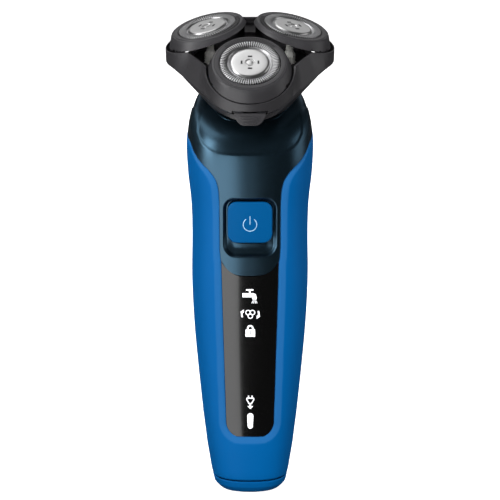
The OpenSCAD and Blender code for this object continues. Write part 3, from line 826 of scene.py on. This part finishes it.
petals = [petal_matrix(k) for k in range(3)]
LIP_TURN = 95
LIP_RADIUS = 15.32
WALL_RADIUS = 16.3
WALL_FOOT = -9.2
BEVEL_RADIUS = 15.1
BEVEL_FOOT = -11.2
CORNER_REACH = (0, 0.9, -0.9)
SKIRT_SLOPE = 3 / 29.8
CHEEK_SHARE = 0.2
FILLET = 1.5


def lip_depth(angle):
    return -5.1 + 14.9 * (1 - math.cos(math.radians(angle))) * SKIRT_SLOPE


def collar_point(k, angle, radius, depth):
    """A point round one collar, in metres, angle degrees round from its outermost side."""
    turn = math.radians(angle)
    point = petals[k] @ (Vector((radius * math.sin(turn), -radius * math.cos(turn), depth)) * MM)
    point.x += CORNER_REACH[k] * MM
    return point


def collar_gap(k, point):
    """How far a point lies outside the cone of one collar, in metres."""
    moved = point.copy()
    moved.x -= CORNER_REACH[k] * MM
    local = petals_back[k] @ moved
    reach = math.hypot(local.x, local.y)
    angle = math.degrees(math.atan2(local.x, -local.y))
    top = lip_depth(angle) * MM
    share = (top - local.z) / (top - WALL_FOOT * MM)
    return reach - (LIP_RADIUS + (WALL_RADIUS - LIP_RADIUS) * share) * MM


petals_back = [matrix.inverted() for matrix in petals]
cheeks = []
for k in range(3):
    after = (k + 1) % 3
    foot_a = collar_point(k, 60, WALL_RADIUS, WALL_FOOT)
    foot_b = collar_point(after, -60, WALL_RADIUS, WALL_FOOT)
    lip_a = collar_point(k, LIP_TURN, LIP_RADIUS, lip_depth(LIP_TURN))
    lip_b = collar_point(after, -LIP_TURN, LIP_RADIUS, lip_depth(LIP_TURN))
    outward = (foot_b - foot_a).cross((lip_a + lip_b - foot_a - foot_b) / 2).normalized()
    middle = (foot_a + foot_b) / 2
    if outward.dot(middle - HEAD_ORIGIN * MM) < 0:
        outward = -outward
    cheeks.append((middle, outward))


def along_foot(k, share, radius, depth, angle=60):
    """A point of the straight line between two neighbouring collars."""
    start, end = collar_point(k, angle, radius, depth), collar_point((k + 1) % 3, -angle, radius, depth)
    return start.lerp(end, share)


def wall_face(k, first, second, share, foot, top, soft):
    """The outer face between its foot and its top: a flat cheek with a fillet up each collar."""
    middle, outward = cheeks[k]
    base = foot.lerp(top, share)
    low_t, high_t = -4.0 * MM, 1.2 * MM
    for step in range(13):
        t = (low_t + high_t) / 2
        point = base + outward * t
        flat = (point - middle).dot(outward)
        round_gap = min(collar_gap(first, point), collar_gap(second, point))
        blend = max(soft - abs(flat - round_gap), 0) / soft if soft > 0 else 0
        if min(flat, round_gap) - blend * blend * soft / 4 > 0:
            high_t = t
        else:
            low_t = t
    return base + outward * (low_t + high_t) / 2


ARC_COLUMNS = 84
CHEEK_COLUMNS = 26
FACE_ROWS = 22
INSIDE = [(14.65, -6.6), (14.65, -9.0), (14.5, -11.0), (14.55, BEVEL_FOOT)]
UNDERSIDE = [(14.95, BEVEL_FOOT), (BEVEL_RADIUS, BEVEL_FOOT + 0.1), (15.2, BEVEL_FOOT + 0.3),
             (16.12, WALL_FOOT - 0.4), (16.26, WALL_FOOT - 0.15)]
columns = []
for k in range(3):
    for i in range(ARC_COLUMNS + CHEEK_COLUMNS):
        if i <= ARC_COLUMNS:
            columns.append((k, LIP_TURN * (2 * i / ARC_COLUMNS - 1), None))
        else:
            columns.append((k, None, (i - ARC_COLUMNS) / CHEEK_COLUMNS))


def frame_column(k, angle, share):
    """The loop of points of one column of the frame, from the foot up, over and down inside."""
    after, before = (k + 1) % 3, (k + 2) % 3
    if angle is not None and abs(angle) <= 60:
        foot = collar_point(k, angle, WALL_RADIUS, WALL_FOOT)
        top = collar_point(k, angle, LIP_RADIUS, lip_depth(angle))
        face = [foot.lerp(top, row / FACE_ROWS) for row in range(FACE_ROWS + 1)]
        inner = [(15.04, lip_depth(angle) + 0.02), (15.02, lip_depth(angle) - 0.6)] + INSIDE
        return face + [collar_point(k, angle, radius, depth) for radius, depth in inner + UNDERSIDE]
    if angle is not None:
        gap = k if angle > 0 else before
        part = (abs(angle) - 60) / (LIP_TURN - 60)
        line = CHEEK_SHARE * part if angle > 0 else 1 - CHEEK_SHARE * part
        top = collar_point(k, angle, LIP_RADIUS, lip_depth(angle))
        soft = FILLET * MM * blend_step(0.05, 0.6, part)
        lip = [collar_point(k, angle, 15.04, lip_depth(angle) + 0.02),
               collar_point(k, angle, 15.02, lip_depth(angle) - 0.6)]
    else:
        gap, line, soft = k, CHEEK_SHARE + (1 - 2 * CHEEK_SHARE) * share, FILLET * MM
        edge = lip_depth(LIP_TURN)
        top = collar_point(k, LIP_TURN, LIP_RADIUS, edge).lerp(
            collar_point(after, -LIP_TURN, LIP_RADIUS, edge), share)
        inward = -cheeks[k][1] * 0.55 * MM * math.sin(math.pi * share) ** 0.5
        lip = [along_foot(k, share, 15.04, edge + drop, LIP_TURN) + inward for drop in (0.06, -0.6)]
    foot = along_foot(gap, line, WALL_RADIUS, WALL_FOOT)
    face = [foot] + [wall_face(gap, gap, (gap + 1) % 3, row / FACE_ROWS, foot, top, soft)
                     for row in range(1, FACE_ROWS + 1)]
    return face + lip + [along_foot(gap, line, radius, depth) for radius, depth in INSIDE + UNDERSIDE]


loops = [frame_column(*column) for column in columns]
bm = bmesh.new()
bmesh.ops.create_grid(bm, x_segments=len(loops), y_segments=len(loops[0]), size=0.5)
for vert in bm.verts:
    column = round((vert.co.x + 0.5) * len(loops)) % len(loops)
    vert.co = loops[column][round((vert.co.y + 0.5) * len(loops[0])) % len(loops[0])]
    if abs(vert.co.x) < 5.95 * MM and vert.co.z < 145.6 * MM and vert.co.y < -24.4 * MM:
        vert.co.y = -24.4 * MM
bmesh.ops.remove_doubles(bm, verts=bm.verts[:], dist=1e-7)
bmesh.ops.recalc_face_normals(bm, faces=bm.faces[:])
CHARCOAL = (0.034, 0.033, 0.036)
charcoal_plastic = finish("charcoal_plastic", moulded(CHARCOAL, 0.4, 0.2, 3000, 0.05, 0.04),
                          Specular_IOR_Level=0.5)
settle("head_frame_wall", bm, charcoal_plastic, "lid", "charcoal", "head_frame", flat=40)

# ---- Rings round the caps ----
# Each ring is a turned-looking charcoal surround with a stepped face, two fine grooves and
# a skirt that is deeper on its outer side.
RING_PROFILE = [(10.52, -3.3), (10.5, -0.55), (10.6, -0.34), (10.85, -0.28), (12.0, -0.32), (12.08, -0.5),
                (12.3, -0.5), (12.38, -0.38), (12.7, -0.44), (12.95, -0.6), (13.05, -0.85), (13.2, -1.0),
                (13.5, -1.65), (13.85, -2.5), (14.25, -3.5), (14.6, -4.35), (14.82, -4.85), (14.8, -4.98),
                (14.6, -5.0), (13.9, -5.0), (13.4, -4.2), (12.9, -2.9), (12.3, -2.0), (11.3, -1.9),
                (11.25, -3.3), (10.52, -3.3)]
RING_FLANK = [(-0.85, 13.05), (-1.0, 13.2), (-1.65, 13.5), (-2.5, 13.85), (-3.5, 14.25),
              (-4.35, 14.6), (-4.98, 14.84)]
TICKS = 27


def ring_bmesh():
    bm = bmesh.new()
    chain = [bm.verts.new((0, -r * MM, z * MM)) for r, z in RING_PROFILE[:-1]]
    edges = [bm.edges.new((chain[i], chain[(i + 1) % len(chain)])) for i in range(len(chain))]
    bmesh.ops.spin(bm, geom=chain + edges, cent=(0, 0, 0), axis=(0, 0, 1), angle=2 * math.pi,
                   steps=192, use_merge=True)
    for vert in bm.verts:
        floor = -4.98 + (vert.co.y / MM + 14.9) * SKIRT_SLOPE
        if vert.co.z < floor * MM and vert.co.xy.length > 11.3 * MM:
            reach = smooth_read(RING_FLANK[::-1], floor)[0] - 0.01
            if vert.co.xy.length > reach * MM:
                vert.co.xy *= reach * MM / vert.co.xy.length
            vert.co.z = floor * MM
    bmesh.ops.remove_doubles(bm, verts=bm.verts[:], dist=2e-7)
    bmesh.ops.recalc_face_normals(bm, faces=bm.faces[:])
    return bm


names = ("front", "right", "left")
tick_shadow = finish("tick_shadow", moulded((0.006, 0.006, 0.006), 0.6))
for k, name in enumerate(names):
    bm = ring_bmesh()
    for i in range(TICKS):
        turn = math.pi + math.radians(3.6) * (i - (TICKS - 1) / 2)
        long = 1.5 - 0.5 * abs(i - (TICKS - 1) / 2) / TICKS * 2
        made = bmesh.ops.create_cube(bm, size=1, matrix=Matrix.Rotation(turn, 4, "Z")
                                     @ Matrix.Translation((0, (-10.72 - long / 2) * MM, -0.36 * MM))
                                     @ Matrix.Diagonal((0.34 * MM, long * MM, 0.2 * MM, 1)))
        for face in {face for vert in made["verts"] for face in vert.link_faces}:
            face.material_index = 1
    bmesh.ops.transform(bm, matrix=petals[k], verts=bm.verts[:])
    settle("ring_shell_" + name, bm, [charcoal_plastic, tick_shadow], "swing_" + name, "charcoal",
           "ring_" + name, flat=35)

# ---- Steel caps ----
# Hardened steel caps, pressed and then slit: fine radial slots cross the raised track, and
# a plain trough lies inside it.
SLOTS = 76
PITCH_COLUMNS = 4
SLOT_DEEP = 0.5
GUARD_PROFILE = [(6.95, -0.75), (7.05, -0.9), (7.3, -0.86), (7.55, -0.6), (7.72, -0.36), (7.9, -0.25),
                 (8.6, -0.14), (9.3, -0.07), (9.75, -0.08), (10.15, -0.14), (10.36, -0.32), (10.42, -0.6),
                 (10.43, -1.2), (10.43, -3.2), (9.98, -3.2), (9.98, -0.9), (8.6, -0.95), (7.6, -1.2),
                 (6.95, -1.1)]
SLOT_ROWS = (5, 6, 7, 8, 9, 10, 11)
BAR_SHARE = 0.5


def guard_bmesh():
    bm = bmesh.new()
    chain = [bm.verts.new((0, -r * MM, z * MM)) for r, z in GUARD_PROFILE]
    edges = [bm.edges.new((chain[i], chain[(i + 1) % len(chain)])) for i in range(len(chain))]
    columns = SLOTS * PITCH_COLUMNS
    bmesh.ops.spin(bm, geom=chain + edges, cent=(0, 0, 0), axis=(0, 0, 1), angle=2 * math.pi,
                   steps=columns, use_merge=True)
    pitch = 2 * math.pi / SLOTS
    radii = {}
    for vert in bm.verts:
        radius = math.hypot(vert.co.x, vert.co.y) / MM
        depth = vert.co.z / MM
        angle = math.atan2(vert.co.x, -vert.co.y) % (2 * math.pi)
        column = round(angle / pitch * PITCH_COLUMNS) % columns
        phase = column % PITCH_COLUMNS
        # columns of a pitch: bar start, bar end, slot start, slot end
        share = (0.0, BAR_SHARE, BAR_SHARE + 0.02, 0.98)[phase]
        turn = (column // PITCH_COLUMNS + share) * pitch
        row = min(range(len(GUARD_PROFILE)),
                  key=lambda i: abs(GUARD_PROFILE[i][0] - radius) + abs(GUARD_PROFILE[i][1] - depth))
        sunk = phase >= 2 and row in SLOT_ROWS
        if sunk:
            depth -= SLOT_DEEP if row < 10 else 0
            radius -= SLOT_DEEP if row >= 10 else 0
        vert.co = Vector((radius * math.sin(turn), -radius * math.cos(turn), depth)) * MM
        radii[vert.index] = sunk
    for face in bm.faces:
        low_count = sum(1 for vert in face.verts if radii.get(vert.index))
        face.material_index = 1 if low_count == 4 else 0
    bmesh.ops.recalc_face_normals(bm, faces=bm.faces[:])
    return bm


def metal(colour, rough):
    """Metal with an even satin grain."""
    def build(tree):
        place = node(tree, "ShaderNodeTexCoord", out=3)
        fine = node(tree, "ShaderNodeTexNoise", {}, {"Vector": place, "Scale": 1800.0, "Detail": 5.0})
        drift = node(tree, "ShaderNodeTexNoise", {}, {"Vector": place, "Scale": 260.0, "Detail": 3.0})
        tone = node(tree, "ShaderNodeMix", {"data_type": "RGBA"},
                    {0: drift, 6: shade(colour, 0.96), 7: shade(colour, 1.03)}, out=2)
        bump = node(tree, "ShaderNodeBump", {}, {"Height": fine, "Strength": 0.06, "Distance": 0.00003})
        return {"Base Color": tone, "Roughness": fine * 0.1 + (rough - 0.05), "Normal": bump}
    return build


CAP_STEEL = (0.66, 0.66, 0.67)
steel = finish("cap_steel", metal(CAP_STEEL, 0.36), Metallic=1.0)
disc_steel = finish("disc_steel", metal((0.72, 0.72, 0.72), 0.32), Metallic=1.0)
slot_dark = finish("slot_shadow", moulded((0.03, 0.03, 0.032), 0.5))
for k, name in enumerate(names):
    bm = guard_bmesh()
    bmesh.ops.transform(bm, matrix=petals[k], verts=bm.verts[:])
    settle("cap_guard_" + name, bm, [steel, slot_dark], "swing_" + name, "steel", "guard_" + name, flat=30)

    # The inner disc is a separate polished pressing with a small centre ring and four
    # short punched marks, clipped into the cap.
    bm = bmesh.new()
    profile = [(0.0, -0.16), (0.95, -0.17), (1.1, -0.2), (1.2, -0.42), (1.55, -0.42), (1.66, -0.16),
               (1.75, -0.1), (3.0, -0.08), (4.6, -0.07), (5.9, -0.08), (6.3, -0.11), (6.55, -0.24),
               (6.7, -0.42), (6.82, -0.56), (6.84, -1.05), (0.0, -1.05)]
    chain = [bm.verts.new((0, -r * MM, z * MM)) for r, z in profile]
    edges = [bm.edges.new((chain[i], chain[i + 1])) for i in range(len(chain) - 1)]
    bmesh.ops.spin(bm, geom=chain + edges, cent=(0, 0, 0), axis=(0, 0, 1), angle=2 * math.pi,
                   steps=144, use_merge=True)
    bmesh.ops.remove_doubles(bm, verts=bm.verts[:], dist=2e-7)
    bmesh.ops.recalc_face_normals(bm, faces=bm.faces[:])
    for i in range(4):
        mark_turn = Matrix.Rotation(math.pi / 2 * i, 4, "Z")
        shape = Matrix.Diagonal((1.5 * MM, 0.62 * MM, 0.1 * MM, 1))
        place = mark_turn @ Matrix.Translation((0, -2.85 * MM, -0.06 * MM))
        made = bmesh.ops.create_cube(bm, size=1, matrix=place @ shape)
        for face in {face for vert in made["verts"] for face in vert.link_faces}:
            face.material_index = 1
    bmesh.ops.transform(bm, matrix=petals[k], verts=bm.verts[:])
    settle("cap_disc_" + name, bm, [disc_steel, slot_dark], "swing_" + name, "steel", "disc_" + name, flat=30)

# ---- Release tab ----
# A small charcoal push tab under the front of the frame with three finger ribs, tapered
# towards its lower end.
bm = bmesh.new()
TAB = [(-5.4, 144.95), (-5.35, 143.75), (-4.35, 142.05), (-3.35, 141.05), (-2.4, 140.65), (2.4, 140.65),
       (3.35, 141.05), (4.35, 142.05), (5.35, 143.75), (5.4, 144.95)]
face = bm.faces.new([bm.verts.new((x * MM, -0.0276, z * MM)) for x, z in TAB])
back = bmesh.ops.extrude_face_region(bm, geom=[face])["geom"]
bmesh.ops.translate(bm, vec=(0, 1.3 * MM, 0), verts=[g for g in back if isinstance(g, bmesh.types.BMVert)])
bmesh.ops.recalc_face_normals(bm, faces=bm.faces[:])
front_edges = [e for e in bm.edges if all(abs(v.co.y + 0.0276) < 1e-6 for v in e.verts)]
bmesh.ops.bevel(bm, geom=front_edges, offset=0.35 * MM, segments=3, affect="EDGES", profile=0.5, material=-1)
for i, z in enumerate((141.55, 142.6, 143.65)):
    half = 2.3 + 0.6 * i
    rib = bmesh.ops.create_cube(bm, size=1, matrix=Matrix.Translation((0, -0.0277, z * MM))
                                @ Matrix.Diagonal((2 * half * MM, 0.7 * MM, 0.45 * MM, 1)))
    rib_edges = list({e for v in rib["verts"] for e in v.link_edges})
    bmesh.ops.bevel(bm, geom=rib_edges, offset=0.12 * MM, segments=2, affect="EDGES", profile=0.5,
                    material=-1)
bmesh.ops.create_cube(bm, size=1, matrix=Matrix.Translation((0, -0.0248, 0.1419))
                      @ Matrix.Diagonal((0.0046, 0.0034, 0.0016, 1)))
settle("release_tab_key", bm, charcoal_plastic, "tab", "charcoal", "release_tab", flat=35)

# ---- Pieces kept as they were designed ----
# Gears, pins, plates, electronics and fasteners keep their own shapes. Each gets the finish
# of its real material: acetal, steel, brass, circuit board, shrink sleeve or rubber.
acetal = finish("white_acetal", moulded((0.72, 0.72, 0.68), 0.45, 0.15, 1500))
steel_plain = finish("satin_steel", metal((0.6, 0.6, 0.61), 0.33), Metallic=1.0)
dark_plate = finish("black_matt_plastic", moulded((0.016, 0.016, 0.017), 0.55, 0.25, 1600))
brass = finish("plated_brass", metal((0.72, 0.52, 0.24), 0.28), Metallic=1.0)
carrier_blue = finish("carrier_blue", moulded((0.01, 0.1, 0.4), 0.4))
board = finish("board_green", moulded((0.015, 0.11, 0.045), 0.38, 0.3, 700, 0.2))
sleeve = finish("cell_sleeve", moulded((0.03, 0.2, 0.09), 0.3, 0.08, 500))
lamp_white = finish("diffuser_white", moulded((0.8, 0.8, 0.78), 0.5, 0.1, 900))
FINISHES = {
    "charge_socket": dark_plate, "socket_pins": brass, "neck_ring": charcoal_plastic, "neck_seal": rubber,
    "button_switch": dark_plate, "control_board": board, "status_leds": lamp_white, "light_guide": lamp_white,
    "chassis": dark_plate, "battery_cell": sleeve, "battery_tabs": steel_plain, "motor_can": steel_plain,
    "motor_bracket": steel_plain, "motor_shaft": steel_plain, "drive_coupling": acetal,
    "hair_chamber": charcoal_plastic, "neck_plug": charcoal_plastic, "gear_posts": steel_plain,
    "gear_cover": dark_plate, "hinge_lugs": charcoal_plastic, "hinge_pin": steel_plain, "sun_gear": acetal,
    "frame_rib": charcoal_plastic, "hinge_knuckle": charcoal_plastic, "retaining_plate": charcoal_plastic,
    "pivot_blocks": charcoal_plastic}
for name in names:
    FINISHES["planet_" + name] = acetal
    FINISHES["cutter_" + name] = steel_plain
    FINISHES["carrier_" + name] = carrier_blue
for name, material in FINISHES.items():
    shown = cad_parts[name]
    shown.data.materials.clear()
    shown.data.materials.append(material)
